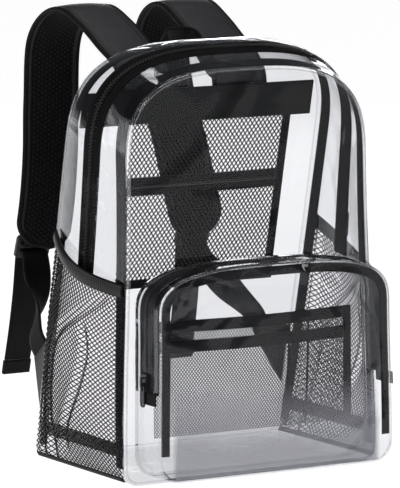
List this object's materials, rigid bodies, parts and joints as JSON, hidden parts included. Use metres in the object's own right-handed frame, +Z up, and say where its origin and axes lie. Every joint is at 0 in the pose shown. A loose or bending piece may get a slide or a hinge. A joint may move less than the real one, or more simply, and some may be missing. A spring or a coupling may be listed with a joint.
{
  "type": "clear stadium backpack",
  "caption": "See-through vinyl backpack with a zipped arch, zipped front pocket with net organiser, net side pockets and padded shoulder straps.",
  "frame": {"origin": "middle of the base, on the ground", "axes": "+X to the right seen from the front, the front faces -Y, +Z up"},
  "size_m": [0.339, 0.3677, 0.4561],
  "materials": {
    "clear_vinyl": "clear soft vinyl sheet, glossy, softly creased",
    "zip_tape": "woven zip tape, dark grey to black",
    "zip_coil": "moulded coil",
    "black_binding": "ribbed grosgrain and coated cloth",
    "black_net": "knitted diamond net",
    "padded_nylon": "smooth nylon over foam, spacer mesh inside",
    "webbing": "flat woven webbing",
    "buckle_plastic": "moulded, satin",
    "dark_metal": "black enamelled die casting"
  },
  "bodies": {
    "root": {"front_panel": "clear_vinyl", "back_panel": "clear_vinyl", "front_piping": "clear_vinyl", "back_piping": "clear_vinyl", "front_gusset": "clear_vinyl", "rear_gusset": "clear_vinyl", "lower_gusset": "clear_vinyl", "pocket_front": "clear_vinyl", "pocket_front_piping": "clear_vinyl", "pocket_back_piping": "clear_vinyl", "pocket_front_strip": "clear_vinyl", "pocket_rear_strip": "clear_vinyl", "pocket_floor": "clear_vinyl", "main_zip_tape": "zip_tape", "pocket_zip_tape": "zip_tape", "inner_pocket_zip": "zip_tape", "main_zip_coil": "zip_coil", "pocket_zip_coil": "zip_coil", "front_binding": "black_binding", "back_binding": "black_binding", "yoke_band": "black_binding", "inner_pocket_binding": "black_binding", "pocket_binding": "black_binding", "organiser_top_binding": "black_binding", "organiser_band": "black_binding", "organiser_side_binding": "black_binding", "side_elastic_left": "black_binding", "side_elastic_right": "black_binding", "side_hem_left": "black_binding", "side_hem_right": "black_binding", "side_band_left": "black_binding", "side_band_right": "black_binding", "zip_end_tab_left": "black_binding", "zip_end_tab_right": "black_binding", "strap_anchor_left": "black_binding", "strap_anchor_right": "black_binding", "inner_pocket_net": "black_net", "organiser_net": "black_net", "side_net_left": "black_net", "side_net_right": "black_net", "shoulder_pad_left": "padded_nylon", "shoulder_pad_right": "padded_nylon", "buckle_keeper_left": "webbing", "buckle_keeper_right": "webbing", "strap_webbing_left": "webbing", "strap_webbing_right": "webbing", "strap_tail_left": "webbing", "strap_tail_right": "webbing", "tail_fold_left": "webbing", "tail_fold_right": "webbing", "carry_loop": "webbing", "ladder_buckle_left": "buckle_plastic", "ladder_buckle_right": "buckle_plastic", "pocket_slider": "dark_metal", "main_sliders": "dark_metal"},
    "pull": {"pocket_pull": "dark_metal"}
  },
  "joints": [
    {"name": "pull_swing", "type": "hinge", "parent": "root", "child": "pull", "pos_m": [-0.13965, -0.1148, 0.10605], "axis": [0, 1, 0], "range_deg": [0, 170]}
  ]
}
